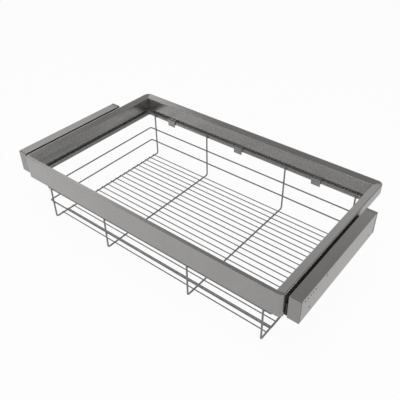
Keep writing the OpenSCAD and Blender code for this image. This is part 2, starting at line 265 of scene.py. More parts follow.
class DrawerCoats(bpy.types.PropertyGroup):
    """Finishes of the drawer."""

    rail_tone: bpy.props.IntProperty(
        name="Rail tone", description="Screen tone of the powder coat", default=152,
        min=20, max=240,
    )
    rail_metallic: bpy.props.FloatProperty(
        name="Rail metallic", description="Share of metal pigment in the rail coat",
        default=0.78, min=0, max=1, subtype="FACTOR",
    )
    rail_rough: bpy.props.FloatProperty(
        name="Rail roughness", description="Roughness of the rail coat",
        default=0.25, min=0.1, max=0.9, subtype="FACTOR",
    )
    wire_tone: bpy.props.IntProperty(
        name="Wire tone", description="Screen tone of the coated wire", default=124,
        min=20, max=240,
    )
    front_cap_tone: bpy.props.IntProperty(
        name="Front cap tone", description="Screen tone of the boxes' front caps", default=143,
        min=20, max=240,
    )
    rear_cap_tone: bpy.props.IntProperty(
        name="Rear cap tone", description="Screen tone of the boxes' rear caps", default=117,
        min=20, max=240,
    )
    steel_tone: bpy.props.IntProperty(
        name="Slide tone", description="Screen tone of the plated steel", default=120,
        min=60, max=250,
    )
    plastic_tone: bpy.props.IntProperty(
        name="Plastic tone", description="Screen tone of the plastic parts", default=62,
        min=5, max=240,
    )


class DrawerStage(bpy.types.PropertyGroup):
    """Floor, light and camera."""

    lens: bpy.props.FloatProperty(
        name="Lens", description="Focal length for a 36 mm wide picture", default=47.957,
        min=10, max=300, subtype="DISTANCE_CAMERA",
    )
    camera_place: bpy.props.FloatVectorProperty(
        name="Camera", description="Where the camera stands", subtype="TRANSLATION",
        unit="LENGTH", default=(0.7136, -0.8561, 0.9551),
    )
    turn: bpy.props.FloatVectorProperty(
        name="Camera turn", description="Yaw, pitch and roll of the camera", subtype="EULER",
        default=(math.radians(37.587), math.radians(36.511), math.radians(0.157)),
    )
    ceiling_power: bpy.props.FloatProperty(
        name="Ceiling light", description="Power of the large soft light above", default=32,
        min=0, unit="POWER",
    )
    rear_power: bpy.props.FloatProperty(
        name="Rear light", description="Power of the soft light behind on the left", default=16.5,
        min=0, unit="POWER",
    )
    side_power: bpy.props.FloatProperty(
        name="Side light", description="Power of the soft light in front on the left", default=4,
        min=0, unit="POWER",
    )
    right_power: bpy.props.FloatProperty(
        name="Right light", description="Power of the low soft light on the right", default=4,
        min=0, unit="POWER",
    )
    sky: bpy.props.FloatProperty(
        name="Sky", description="Strength of the studio's own light", default=0.9, min=0, max=3,
    )


# The rails' and caps' grey: steps of tone that red has over green, and the peel's strength.
RAIL_WARM = 1.8
RAIL_PEEL = 0.12


def coats():
    """The finishes, made once."""
    p = bpy.context.scene.drawer_coats
    made = bpy.data.materials
    if "rail_coat" not in made:
        w, d, _ = frame_edges()
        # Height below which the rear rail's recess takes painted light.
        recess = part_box("rear_rail")[1].z - RECESS_DOWN * MM
        powder_coat(
            "rail_coat", p.rail_tone, RAIL_WARM, p.rail_metallic, p.rail_rough, RAIL_PEEL,
            rails=(w * MM, d * MM, SIDE_BAND * MM, recess),
        )
        powder_coat("wire_coat", p.wire_tone, warm=0.5, metallic=0.45, rough=0.42, peel=0.3)
        powder_coat(
            "front_cap_coat", p.front_cap_tone, RAIL_WARM, metallic=0.4, rough=0.37,
            peel=RAIL_PEEL,
        )
        powder_coat(
            "rear_cap_coat", p.rear_cap_tone, RAIL_WARM, metallic=0.0, rough=0.5,
            peel=RAIL_PEEL,
        )
        zinc_steel("slide_steel", p.steel_tone)
        dark_plastic("moulded_plastic", p.plastic_tone)
    return {k: made[k] for k in SLOTS}


# The solids by finish; those named nowhere here are plated steel.
RAIL_NODES = (
    "front_rail", "rear_rail", "left_side_rail", "right_side_rail", "left_side_box",
    "right_side_box", "left_front_cap", "right_front_cap", "left_rear_cap", "right_rear_cap",
    "basket_clips",
)
WIRE_NODES = ("rim_wire", "upper_ring", "lower_ring", "cross_wires", "floor_wires")
PLASTIC_NODES = (
    "rear_bumpers", "left_outer_cage", "right_outer_cage", "left_inner_cage",
    "right_inner_cage", "left_spacers", "right_spacers",
)
# The kind of material that each finish is.
SLOTS = {
    "rail_coat": "powder_coat", "front_cap_coat": "powder_coat", "rear_cap_coat": "powder_coat",
    "wire_coat": "coated_wire", "slide_steel": "zinc_steel", "moulded_plastic": "dark_plastic",
}


class DRAWER_OT_coats(bpy.types.Operator):
    """Give every solid of the drawer its finish."""

    bl_idname = "drawer.coats"
    bl_label = "Finishes"

    def execute(self, context):
        made = coats()
        for name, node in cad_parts.items():
            finish = "slide_steel"
            if name in RAIL_NODES:
                finish = "rail_coat"
            elif name in WIRE_NODES:
                finish = "wire_coat"
            elif name in PLASTIC_NODES:
                finish = "moulded_plastic"
            node.data.materials.clear()
            node.data.materials.append(made[finish])
        return {"FINISHED"}


# meshes


def shade(mesh, angle=38):
    """Smooth shading with sharp edges where faces turn by more than the angle."""
    mesh.polygons.foreach_set("use_smooth", [True] * len(mesh.polygons))
    mesh.set_sharp_from_angle(angle=math.radians(angle))


def settle(obj):
    """Makes what the object's modifiers show its plain mesh, and removes them."""
    bpy.context.view_layer.update()
    graph = bpy.context.evaluated_depsgraph_get()
    mesh = bpy.data.meshes.new_from_object(obj.evaluated_get(graph), depsgraph=graph)
    obj.modifiers.clear()
    old, obj.data = obj.data, mesh
    bpy.data.meshes.remove(old)
    mesh.name = obj.name


def linked(name, data):
    """An object in the scene for a mesh, a lamp or a camera."""
    made = bpy.data.objects.new(name, data)
    bpy.context.scene.collection.objects.link(made)
    return made


def piece(name, mesh, coat, body, nodes, weighted=True):
    """A finished piece that rides on a body and stands for those CAD nodes."""
    mesh.materials.clear()
    mesh.materials.append(coats()[coat])
    made = linked(name, mesh)
    shade(mesh)
    if weighted:
        even = made.modifiers.new("even", "WEIGHTED_NORMAL")
        even.keep_sharp = True
        settle(made)
    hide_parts(*nodes)
    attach(made, body)
    return made


def mesh_of(bm, name):
    """Closes up a bmesh with its faces outwards and turns it into a mesh."""
    bmesh.ops.remove_doubles(bm, verts=bm.verts, dist=1e-7)
    bmesh.ops.dissolve_degenerate(bm, edges=bm.edges, dist=1e-7)
    bmesh.ops.recalc_face_normals(bm, faces=bm.faces)
    mesh = bpy.data.meshes.new(name)
    bm.to_mesh(mesh)
    bm.free()
    return mesh


def loft(bm, rings):
    """Skin through rings of points in millimetres, with a face on each end."""
    rows = [[bm.verts.new(Vector(p) * MM) for p in ring] for ring in rings]
    for near, far in zip(rows, rows[1:]):
        for i in range(len(near)):
            j = (i + 1) % len(near)
            bm.faces.new((near[i], near[j], far[j], far[i]))
    bm.faces.new(rows[0][::-1])
    bm.faces.new(rows[-1])


def rounded(corners, steps=3):
    """Closed outline through corners (across, height, fillet radius), in millimetres."""
    outline = []
    for i, (x, z, r) in enumerate(corners):
        here = Vector((x, z))
        back = (Vector(corners[i - 1][:2]) - here).normalized()
        ahead = (Vector(corners[(i + 1) % len(corners)][:2]) - here).normalized()
        half = back.angle(ahead) / 2
        centre = here + (back + ahead).normalized() * (r / math.sin(half))
        first = here + back * (r / math.tan(half)) - centre
        last = here + ahead * (r / math.tan(half)) - centre
        sweep = math.pi - 2 * half
        for k in range(steps + 1):
            t = k / steps
            part = first * math.sin((1 - t) * sweep) + last * math.sin(t * sweep)
            outline.append(centre + part / math.sin(sweep))
    return outline


def solids(node):
    """The separate solids of a CAD node, each as its list of points."""
    bm = bmesh.new()
    bm.from_mesh(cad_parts[node].data)
    bmesh.ops.remove_doubles(bm, verts=bm.verts, dist=1e-6)
    left = set(bm.verts)
    found = []
    while left:
        reached, edge = set(), {left.pop()}
        while edge:
            reached |= edge
            edge = {e.other_vert(v) for v in edge for e in v.link_edges} - reached
        left -= reached
        found.append([v.co.copy() for v in reached])
    bm.free()
    return sorted(found, key=lambda points: tuple(round(c, 5) for c in middle(points)))


def span(points):
    """Lowest and highest corner of a list of points."""
    return (
        Vector([min(p[i] for p in points) for i in range(3)]),
        Vector([max(p[i] for p in points) for i in range(3)]),
    )


def middle(points):
    """Middle of the box round a list of points."""
    low, high = span(points)
    return (low + high) / 2


def ball(name, radius, along=1.0, high=1.0):
    """A ball, or a lump drawn out along its own X and pressed flat by those shares."""
    bm = bmesh.new()
    bmesh.ops.create_icosphere(bm, subdivisions=2, radius=radius)
    for v in bm.verts:
        v.co = Vector((v.co.x * along, v.co.y, v.co.z * high))
    mesh = bpy.data.meshes.new(name)
    bm.to_mesh(mesh)
    bm.free()
    return mesh


# Widths, in millimetres, that the edges of each kind of piece are rounded by.
EDGES = {
    "box": 0.4, "cap": 0.4, "clip": 0.35, "member": 0.2, "spacer": 0.6, "cage": 0.1,
    "bumper": 0.8, "bracket": 0.3,
}
# Faces that turn by less than this, in degrees, are one flat face.
FLAT = 0.6


def softened(node, width, steps=2, angle=30, shortest=0):
    """A copy of a CAD node's mesh, its edges longer than the shortest rounded off, all in mm."""
    bm = bmesh.new()
    bm.from_mesh(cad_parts[node].data)
    bmesh.ops.remove_doubles(bm, verts=bm.verts, dist=1e-6)
    bmesh.ops.dissolve_limit(
        bm, angle_limit=math.radians(FLAT), verts=bm.verts, edges=bm.edges,
    )
    turn = math.radians(angle)
    sharp = [
        e for e in bm.edges if len(e.link_faces) == 2 and e.calc_face_angle(0) > turn
        and e.calc_length() > shortest * MM
    ]
    bmesh.ops.bevel(
        bm, geom=sharp, offset=width * MM, offset_type="OFFSET", segments=steps, profile=0.5,
        affect="EDGES", clamp_overlap=True,
    )
    return mesh_of(bm, node)


# node trees for what repeats or follows a line


class Tree:
    """A Geometry Nodes tree with named inputs, which ends in one realised, coated mesh."""

    def __init__(self, name, inputs):
        self.group = bpy.data.node_groups.new(name, "GeometryNodeTree")
        face = self.group.interface
        face.new_socket("Geometry", in_out="INPUT", socket_type="NodeSocketGeometry")
        self.keys = {
            label: face.new_socket(label, in_out="INPUT", socket_type=kind).identifier
            for label, kind in inputs.items()
        }
        face.new_socket("Geometry", in_out="OUTPUT", socket_type="NodeSocketGeometry")
        self.given = self.group.nodes.new("NodeGroupInput")
        self.result = self.group.nodes.new("NodeGroupOutput")

    def input(self, label):
        return self.given.outputs[label]

    def node(self, kind, settings=(), **sockets):
        """Adds a node and links or sets its sockets; returns its first output."""
        made = self.group.nodes.new("GeometryNode" + kind)
        for key, value in dict(settings).items():
            setattr(made, key, value)
        for key, value in sockets.items():
            socket = made.inputs[key.replace("_", " ")]
            if isinstance(value, bpy.types.NodeSocket):
                self.group.links.new(value, socket)
            else:
                socket.default_value = value
        return made.outputs[0]

    def finish(self, shape):
        whole = self.node("RealizeInstances", Geometry=shape)
        coated = self.node("SetMaterial", Geometry=whole, Material=self.input("Coat"))
        self.group.links.new(coated, self.result.inputs[0])

    def run(self, obj, **values):
        """Runs the tree on the object and leaves the plain mesh."""
        growth = obj.modifiers.new("growth", "NODES")
        growth.node_group = self.group
        for label, value in values.items():
            growth[self.keys[label.replace("_", " ")]] = value
        settle(obj)
        return obj


def wire_tree():
    """Round wire along lines, its corners bent to a radius."""
    tree = Tree("bent_wire", {
        "Wire radius": "NodeSocketFloat", "Bend radius": "NodeSocketFloat",
        "Bend steps": "NodeSocketInt", "Sides": "NodeSocketInt", "Coat": "NodeSocketMaterial",
    })
    line = tree.node("MeshToCurve", Mesh=tree.input("Geometry"))
    bent = tree.node(
        "FilletCurve", {"mode": "POLY"}, Curve=line, Count=tree.input("Bend steps"),
        Radius=tree.input("Bend radius"), Limit_Radius=True,
    )
    round_bar = tree.node(
        "CurvePrimitiveCircle", Resolution=tree.input("Sides"), Radius=tree.input("Wire radius"),
    )
    tree.finish(tree.node("CurveToMesh", Curve=bent, Profile_Curve=round_bar, Fill_Caps=True))
    return tree


def repeat_tree():
    """One piece at every point, turned as the point's turn says."""
    tree = Tree("repeated_piece", {
        "Piece": "NodeSocketObject", "Coat": "NodeSocketMaterial",
    })
    turn = tree.node("InputNamedAttribute", {"data_type": "FLOAT_VECTOR"}, Name="turn")
    shape = tree.node("ObjectInfo", Object=tree.input("Piece")).node.outputs["Geometry"]
    tree.finish(tree.node(
        "InstanceOnPoints", Points=tree.input("Geometry"), Instance=shape, Rotation=turn,
    ))
    return tree


def wires(name, lines, radius, bend, closed=False, sides=14):
    """Mesh of round wires along lines of points, in metres."""
    mesh = bpy.data.meshes.new(name)
    points, edges = [], []
    for line in lines:
        first = len(points)
        points += line
        edges += [(first + i, first + i + 1) for i in range(len(line) - 1)]
        if closed:
            edges.append((len(points) - 1, first))
    mesh.from_pydata(points, edges, [])
    carrier = linked(name + "_lines", mesh)
    wire_tree().run(
        carrier, Wire_radius=radius, Bend_radius=bend, Bend_steps=6, Sides=sides,
        Coat=coats()["wire_coat"],
    )
    return lift(carrier, name)


def repeated(name, unit, spots, coat):
    """Mesh of one unit at every spot, a spot being a place and a turn."""
    mesh = bpy.data.meshes.new(name)
    mesh.from_pydata([place for place, _ in spots], [], [])
    turns = mesh.attributes.new("turn", "FLOAT_VECTOR", "POINT")
    for i, (_, turn) in enumerate(spots):
        turns.data[i].vector = turn
    carrier, sample = linked(name + "_spots", mesh), linked(name + "_unit", unit)
    repeat_tree().run(carrier, Piece=sample, Coat=coats()[coat])
    bpy.data.objects.remove(sample)
    return lift(carrier, name)


def lift(carrier, name):
    """Takes the mesh off a carrier object, which goes."""
    mesh = carrier.data
    bpy.data.objects.remove(carrier)
    mesh.name = name
    return mesh


def joined(name, *meshes):
    """One mesh out of several."""
    bm = bmesh.new()
    for mesh in meshes:
        bm.from_mesh(mesh)
        bpy.data.meshes.remove(mesh)
    made = bpy.data.meshes.new(name)
    bm.to_mesh(made)
    bm.free()
    return made


# frame rails

# Section of the side and rear rails: depth from the outside, height from the top, fillet.
SIDE_RAIL = (
    (0, -25, 0.5), (0, 0, 0.9), (3.3, 0, 2), (22, -3.6, 1.8), (22, -39, 0.8), (18, -39, 0.5),
    (18, -52, 0.8), (26, -52, 1.5), (26, -58, 0.4), (24, -58, 0.4), (24, -54, 0.6),
    (16, -54, 1.5), (16, -37, 0.6), (20, -37, 0.6), (20, -6, 0.8), (3.3, -2, 1), (2, -2, 0.6),
    (2, -25, 0.5),
)
# Depth of the inner faces and how far below the top the recess under them starts, which bound the
# painted shade and painted light on the rails; thickness of the front rail, and the gap at the
# rails' joints.
SIDE_BAND = 22
RECESS_DOWN = 39.2
FRONT_DEPTH = 10
JOINT_GAP = 0.12
# Where the ledges lie below the top, and how far the front ledge stays inside the frame's sides.
LEDGE_TOP, LEDGE_UNDER, LEDGE_FOOT = -52, -54, -58
LEDGE_INSET = 26.1


def frame_edges():
    """Half width, half depth and top of the frame, in millimetres."""
    (low, high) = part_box("front_rail")
    return high.x / MM, -low.y / MM, high.z / MM


def round_corner(w, d, radius, depth, start, end, sign, steps=8):
    """Plan points of a line at some depth inside a corner of the frame, turned round it."""
    centre = Vector((sign[0] * (w - radius), sign[1] * (d - radius)))
    out = []
    for k in range(steps + 1):
        a = math.radians(start + (end - start) * k / steps)
        if depth < radius:
            ray = Vector((sign[0] * math.cos(a), sign[1] * math.sin(a)))
            out.append(centre + (radius - depth) * ray)
        else:
            out.append(Vector((sign[0] * (w - depth), sign[1] * (d - depth))))
    return out


def rail(name, top, outline, route):
    """Rail along a route, which gives the plan points of a line at a depth."""
    lines = [[(p.x, p.y, top + height) for p in route(depth)] for depth, height in outline]
    bm = bmesh.new()
    loft(bm, [list(ring) for ring in zip(*lines)])
    return mesh_of(bm, name)


def side_route(w, d, sign, radius, front_radius):
    """Side rail: from behind the front rail's end to the rear mitre."""
    inner = front_radius - FRONT_DEPTH

    def route(depth):
        start = -d + front_radius + JOINT_GAP
        if depth > FRONT_DEPTH:
            start -= math.sqrt(max(inner**2 - max(front_radius - depth, 0) ** 2, 0))
        x = sign * (w - depth)
        points = [Vector((x, y)) for y in (start, -d + 2 * radius, d - 2.5 * radius)]
        bend = round_corner(w, d, radius, depth, 0, 45, (sign, 1))
        points += bend[:-1] + [bend[-1] - Vector((0, JOINT_GAP / 2))]
        return points

    return route


def rear_route(w, d, radius):
    """Rear rail: round both rear corners, from mitre to mitre."""

    def route(depth):
        left = round_corner(w, d, radius, depth, 45, 90, (-1, 1))
        right = round_corner(w, d, radius, depth, 90, 45, (1, 1))
        left[0] += Vector((JOINT_GAP / 2, 0))
        right[-1] -= Vector((JOINT_GAP / 2, 0))
        straight = [Vector((s * (w - 2.5 * radius), d - depth)) for s in (-1, 1)]
        return left + straight + right

    return route


def front_route(w, d, radius):
    """Front rail: its two ends turn round the front corners."""

    def route(depth):
        left = round_corner(w, d, radius, depth, 0, 90, (-1, -1))
        right = round_corner(w, d, radius, depth, 90, 0, (1, -1))
        return left + right

    return route


class DrawerRails(bpy.types.PropertyGroup):
    """Sizes of the frame's rails."""

    corner: bpy.props.FloatProperty(
        name="Rear corner radius", description="Plan radius of the frame's rear corners",
        default=16 * MM, min=12 * MM, max=25 * MM, unit="LENGTH",
    )
    front_corner: bpy.props.FloatProperty(
        name="Front corner radius", description="Plan radius of the frame's front corners",
        default=11.5 * MM, min=10.5 * MM, max=20 * MM, unit="LENGTH",
    )
    face: bpy.props.FloatProperty(
        name="Face height", description="Height of the front rail's face",
        default=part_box("front_rail")[1].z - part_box("front_rail")[0].z,
        min=50 * MM, max=90 * MM, unit="LENGTH",
    )
    ledge: bpy.props.FloatProperty(
        name="Front ledge", description="Reach of the front ledge from the front face",
        default=19.8 * MM, min=14 * MM, max=26 * MM, unit="LENGTH",
    )


class DRAWER_OT_rails(bpy.types.Operator):
    """Roll the four rails of the frame, with round corners and a mitre at the rear."""

    bl_idname = "drawer.rails"
    bl_label = "Frame rails"

    def execute(self, context):
        p = context.scene.drawer_rails
        w, d, top = frame_edges()
        radius, front_radius = p.corner / MM, p.front_corner / MM
        face, ledge = p.face / MM, p.ledge / MM
        section = rounded(SIDE_RAIL)
        for side, sign in (("left", -1), ("right", 1)):
            node = side + "_side_rail"
            mesh = rail(node, top, section, side_route(w, d, sign, radius, front_radius))
            piece(side + "_rail", mesh, "rail_coat", "drawer", [node])
        mesh = rail("rear", top, section, rear_route(w, d, radius))
        piece("back_rail", mesh, "rail_coat", "drawer", ["rear_rail"])
        skin = rounded((
            (0, -face, 0.9), (0, 0, 0.8), (FRONT_DEPTH, 0, 0.8), (FRONT_DEPTH, -face, 0.9),
        ))
        front = rail("front", top, skin, front_route(w, d, front_radius))
        shelf = rounded((
            (FRONT_DEPTH - 1, LEDGE_TOP, 0.2), (ledge, LEDGE_TOP, 1.5), (ledge, LEDGE_FOOT, 0.4),
            (ledge - 2, LEDGE_FOOT, 0.4), (ledge - 2, LEDGE_UNDER, 0.6),
            (FRONT_DEPTH - 1, LEDGE_UNDER, 0.2),
        ))
        reach = w - LEDGE_INSET
        bm = bmesh.new()
        loft(bm, [[(x, -d + a, top + b) for a, b in shelf] for x in (-reach, reach)])
        mesh = joined("front", front, mesh_of(bm, "shelf"))
        piece("face_rail", mesh, "rail_coat", "drawer", ["front_rail"])
        return {"FINISHED"}


# wire basket


class DrawerBasket(bpy.types.PropertyGroup):
    """Sizes of the wire basket."""

    bend: bpy.props.FloatProperty(
        name="Bend radius", description="Radius of the bends in the wires",
        default=5 * MM, min=3 * MM, max=20 * MM, unit="LENGTH",
    )
    inner_wires: bpy.props.FloatProperty(
        name="Inner cross wires", default=135.5 * MM, min=50 * MM, max=300 * MM, unit="LENGTH",
        description="Distance of the two inner cross wires from the middle",
    )
    floor_count: bpy.props.IntProperty(
        name="Floor wires", description="Number of floor wires",
        default=len(solids("floor_wires")), min=2, max=60,
    )
    bead: bpy.props.FloatProperty(
        name="Weld bead", description="Radius of a weld bead where the rings meet the uprights",
        default=2.9 * MM, min=1 * MM, max=5 * MM, unit="LENGTH",
    )


def ring_lines(node):
    """Corner points of a closed ring's wire, and the wire's radius."""
    low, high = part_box(node)
    r = (high.z - low.z) / 2
    z = (high.z + low.z) / 2
    x0, x1, y0, y1 = low.x + r, high.x - r, low.y + r, high.y - r
    return [[(x0, y0, z), (x1, y0, z), (x1, y1, z), (x0, y1, z)]], r


# Weld beads: how long and how high they are for their width, and how wide the floor's are for
# the rings'.
BEAD_LONG = 1.15
BEAD_HIGH = 0.85
FLOOR_BEAD = 0.75


class DRAWER_OT_basket(bpy.types.Operator):
    """Bend and weld the basket's wires."""

    bl_idname = "drawer.basket"
    bl_label = "Wire basket"

    def execute(self, context):
        p = context.scene.drawer_basket
        for name, node in (
            ("basket_rim", "rim_wire"), ("basket_upper_ring", "upper_ring"),
            ("basket_lower_ring", "lower_ring"),
        ):
            lines, r = ring_lines(node)
            mesh = wires(name, lines, r, p.bend, closed=True)
            piece(name, mesh, "wire_coat", "drawer", [node], weighted=False)
        low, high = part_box("cross_wires")
        wire = span(solids("cross_wires")[0])
        r = (wire[1].x - wire[0].x) / 2
        y0, y1, z0 = low.y + r, high.y - r, low.z + r
        places = (low.x + r, -p.inner_wires, p.inner_wires, high.x - r)
        lines = [[(x, y0, high.z), (x, y0, z0), (x, y1, z0), (x, y1, high.z)] for x in places]
        crossing = wires("crossing", lines, r, p.bend)
        spots = []
        for ring in ("upper_ring", "lower_ring"):
            (box_low, box_high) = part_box(ring)
            z, reach = (box_low.z + box_high.z) / 2, (box_high.z - box_low.z) / 2
            for y in (box_low.y + reach * 0.1, box_high.y - reach * 0.1):
                spots += [((x, y, z), (0, 0, 0)) for x in places]
        for x in places:
            spots += [((x, y, high.z - 2 * r), (0, 0, 0)) for y in (y0 - r * 0.8, y1 + r * 0.8)]
        unit = ball("bead", p.bead, BEAD_LONG, BEAD_HIGH)
        beads = repeated("beads", unit, spots, "wire_coat")
        mesh = joined("cross", crossing, beads)
        piece("basket_cross_wires", mesh, "wire_coat", "drawer", ["cross_wires"], weighted=False)
        low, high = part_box("floor_wires")
        r = (high.z - low.z) / 2
        step = (high.y - low.y - 2 * r) / (p.floor_count - 1)
        rows = [low.y + r + i * step for i in range(p.floor_count)]
        lines = [[(low.x, y, low.z + r), (high.x, y, low.z + r)] for y in rows]
        runs = wires("runs", lines, r, p.bend, sides=12)
        spots = [((x, y, low.z + 0.4 * r), (0, 0, 0)) for x in places for y in rows]
        unit = ball("bead", FLOOR_BEAD * p.bead, high=BEAD_HIGH)
        beads = repeated("floor_beads", unit, spots, "wire_coat")
        mesh = joined("floor", runs, beads)
        piece("basket_floor_wires", mesh, "wire_coat", "drawer", ["floor_wires"], weighted=False)
        mesh = softened("basket_clips", EDGES["clip"])
        piece("clips", mesh, "rail_coat", "drawer", ["basket_clips"])
        return {"FINISHED"}


# side boxes

# Open joint behind the front caps, how far the rear caps reach over the boxes' ends, and the
# joint that these leave, in millimetres.
CAP_SEAM = 1.5
REAR_WRAP = 5.2
REAR_JOINT = 0.4
# Points this near to a seam, in millimetres, move with it.
SEAM_REACH = 0.6
# Edges of the boxes up to this length, in millimetres, are those of holes, and stay sharp.
HOLE_EDGE = 5


class DRAWER_OT_boxes(bpy.types.Operator):
    """Make the two side boxes with their end caps."""

    bl_idname = "drawer.boxes"
    bl_label = "Side boxes"

    def execute(self, context):
        for side in ("left", "right"):
            mesh = softened(side + "_side_box", EDGES["box"], shortest=HOLE_EDGE)
            (low, high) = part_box(side + "_side_box")
            for v in mesh.vertices:
                if v.co.y > high.y - SEAM_REACH * MM:
                    v.co.y -= (REAR_WRAP + REAR_JOINT) * MM
            piece(side + "_box", mesh, "rail_coat", "side_boxes", [side + "_side_box"])
            for end, seam, out, move in (
                ("front", low.y, -1, CAP_SEAM), ("rear", high.y, 1, -REAR_WRAP),
            ):
                node = f"{side}_{end}_cap"
                mesh = softened(node, EDGES["cap"])
                for v in mesh.vertices:
                    if abs(v.co.y - seam) < SEAM_REACH * MM:
                        v.co.y += out * move * MM
                made = piece(f"{side}_{end}_end", mesh, f"{end}_cap_coat", "side_boxes", [node])
                # Painted shade: the cap's faces inside the joint take the dark plastic, a dark
                # sheet where the joint is in shade.
                made.data.materials.append(coats()["moulded_plastic"])
                for face in made.data.polygons:
                    inside = (face.center.y - seam) * out < (move + 0.1) * MM
                    face.material_index = int(inside)
        return {"FINISHED"}


# slides and screws


# Cross recess: reach and half width of its arms, floor and top, for the head's radius and height.
ARM, ARM_HALF = 0.56, 0.13
ARM_FLOOR, ARM_TOP = 0.35, 1.3
# The recess is this much smaller at its floor.
ARM_TAPER = 0.8


def screw_mesh(head_r, head_h, shank_r, length, sides=20):
    """Pan-head screw with a cross recess; head towards its own +Z, shank towards -Z."""
    profile = (
        (0, head_h), (0.45, head_h), (0.72, head_h * 0.9), (0.9, head_h * 0.62),
        (1, head_h * 0.2), (1, 0), (shank_r / head_r, 0),
        (shank_r / head_r, -length + 0.3 * shank_r), (0.7 * shank_r / head_r, -length),
        (0, -length),
    )
    bm = bmesh.new()
    rings = []
    for share, z in profile:
        turns = [2 * math.pi * k / sides for k in range(sides)] if share else [0]
        rings.append([
            bm.verts.new((head_r * share * math.cos(a), head_r * share * math.sin(a), z))
            for a in turns
        ])
    for near, far in zip(rings, rings[1:]):
        for i in range(sides):
            j = (i + 1) % sides
            ends = (near, i), (near, j), (far, j), (far, i)
            corners = [ring[k % len(ring)] for ring, k in ends]
            bm.faces.new(list(dict.fromkeys(corners)))
    body = linked("screw", mesh_of(bm, "screw"))
    bm = bmesh.new()
    arm, half = ARM * head_r, ARM_HALF * head_r
    star = [
        (half, half), (arm, half), (arm, -half), (half, -half), (half, -arm), (-half, -arm),
        (-half, -half), (-arm, -half), (-arm, half), (-half, half), (-half, arm), (half, arm),
    ]
    floor = [
        bm.verts.new((ARM_TAPER * x, ARM_TAPER * y, ARM_FLOOR * head_h)) for x, y in star
    ]
    roof = [bm.verts.new((x, y, ARM_TOP * head_h)) for x, y in star]
    for i in range(len(star)):
        j = (i + 1) % len(star)
        bm.faces.new((floor[i], floor[j], roof[j], roof[i]))
    bm.faces.new(floor)
    bm.faces.new(roof)
    cutter = linked("recess", mesh_of(bm, "recess"))
    cut = body.modifiers.new("recess", "BOOLEAN")
    cut.operation, cut.solver, cut.object = "DIFFERENCE", "EXACT", cutter
    settle(body)
    bpy.data.objects.remove(cutter)
    return lift(body, "screw")


def screw_spots(node, head_h):
    """Where the screws of a CAD node have the underside of their heads, their turn and sizes."""
    spots, sizes = [], None
    for points in solids(node):
        low, high = span(points)
        extent = high - low
        axis = max(range(3), key=lambda i: extent[i])
        centre = (low + high) / 2

        def off(p):
            return max(abs(p[i] - centre[i]) for i in range(3) if i != axis)

        head_r = max(off(p) for p in points)
        wide = [p[axis] for p in points if off(p) > 0.9 * head_r]
        shank = [off(p) for p in points if off(p) < 0.85 * head_r and off(p) > 0.3 * head_r]
        up = 1 if sum(wide) / len(wide) > centre[axis] else -1
        way = Vector([up if i == axis else 0 for i in range(3)])
        place = centre.copy()
        place[axis] = (high if up > 0 else low)[axis] - up * head_h
        turn = way.to_track_quat("Z", "Y").to_euler()
        spots.append((tuple(place), tuple(turn)))
        sizes = (head_r, max(shank), extent[axis] - head_h)
    return spots, sizes


class DrawerFixings(bpy.types.PropertyGroup):
    """Sizes of the screws."""

    head: bpy.props.FloatProperty(
        name="Head height", description="Height of a pan head", default=1.6 * MM,
        min=0.5 * MM, max=4 * MM, unit="LENGTH",
    )
    flat_head: bpy.props.FloatProperty(
        name="Flat head height", description="Height of the low heads inside the slides",
        default=0.9 * MM, min=0.4 * MM, max=4 * MM, unit="LENGTH",
    )


class DRAWER_OT_slides(bpy.types.Operator):
    """Make the members, balls, cages, spacers and bumpers of the two slides."""

    bl_idname = "drawer.slides"
    bl_label = "Slides"

    def execute(self, context):
        for side in ("left", "right"):
            for node, body in (
                ("cabinet_member", "side_boxes"), ("middle_member", side + "_middle"),
                ("drawer_member", "drawer"),
            ):
                mesh = softened(f"{side}_{node}", EDGES["member"])
                piece(f"{side}_{node}_steel", mesh, "slide_steel", body, [f"{side}_{node}"])
            mesh = softened(side + "_spacers", EDGES["spacer"])
            piece(side + "_spacer_blocks", mesh, "moulded_plastic", "drawer", [side + "_spacers"])
            for run in ("outer", "inner"):
                node, body = f"{side}_{run}_balls", f"{side}_{run}_cage"
                spheres = solids(node)
                r = (span(spheres[0])[1].y - span(spheres[0])[0].y) / 2
                spots = [(tuple(middle(points)), (0, 0, 0)) for points in spheres]
                mesh = repeated(node, ball("ball", r), spots, "slide_steel")
                piece(f"{side}_{run}_ball_rows", mesh, "slide_steel", body, [node], weighted=False)
                mesh = softened(body, EDGES["cage"])
                piece(f"{side}_{run}_ball_strip", mesh, "moulded_plastic", body, [body])
        mesh = softened("rear_bumpers", EDGES["bumper"], steps=3)
        piece("bumpers", mesh, "moulded_plastic", "side_boxes", ["rear_bumpers"])
        return {"FINISHED"}


class DRAWER_OT_fixings(bpy.types.Operator):
    """Make the corner brackets and all screws."""

    bl_idname = "drawer.fixings"
    bl_label = "Brackets and screws"

    def execute(self, context):
        p = context.scene.drawer_fixings
        for node in ("front_corner_brackets", "rear_corner_brackets"):
            mesh = softened(node, EDGES["bracket"])
            piece(node[:-1] + "_pair", mesh, "slide_steel", "drawer", [node])
        for node, body, head in (
            ("corner_screws", "drawer", p.head), ("spacer_screws", "drawer", p.head),
            ("box_screws", "side_boxes", p.flat_head),
        ):
            spots, (head_r, shank_r, length) = screw_spots(node, head)
            unit = screw_mesh(head_r, head, shank_r, length)
            mesh = repeated(node, unit, spots, "slide_steel")
            piece(node + "_set", mesh, "slide_steel", body, [node], weighted=False)
        return {"FINISHED"}


# stage

# Side and height of the floor, in metres.
FLOOR_SIZE = 24
FLOOR_HEIGHT = -0.0006
# Share of plain white in the floor that the camera sees; the rest takes the light and shadow.
FLOOR_WHITE = 0.94
# The floor's glow that the metal mirrors is a painted reflection: it dims from left to right,
# between these places in metres and by these shares, in place of the floor's light and shadow;
# below zero it brightens.
FADE_FROM, FADE_TO = -0.62, 0.38
FADE_LEFT, FADE_RIGHT = -0.07, 0.16
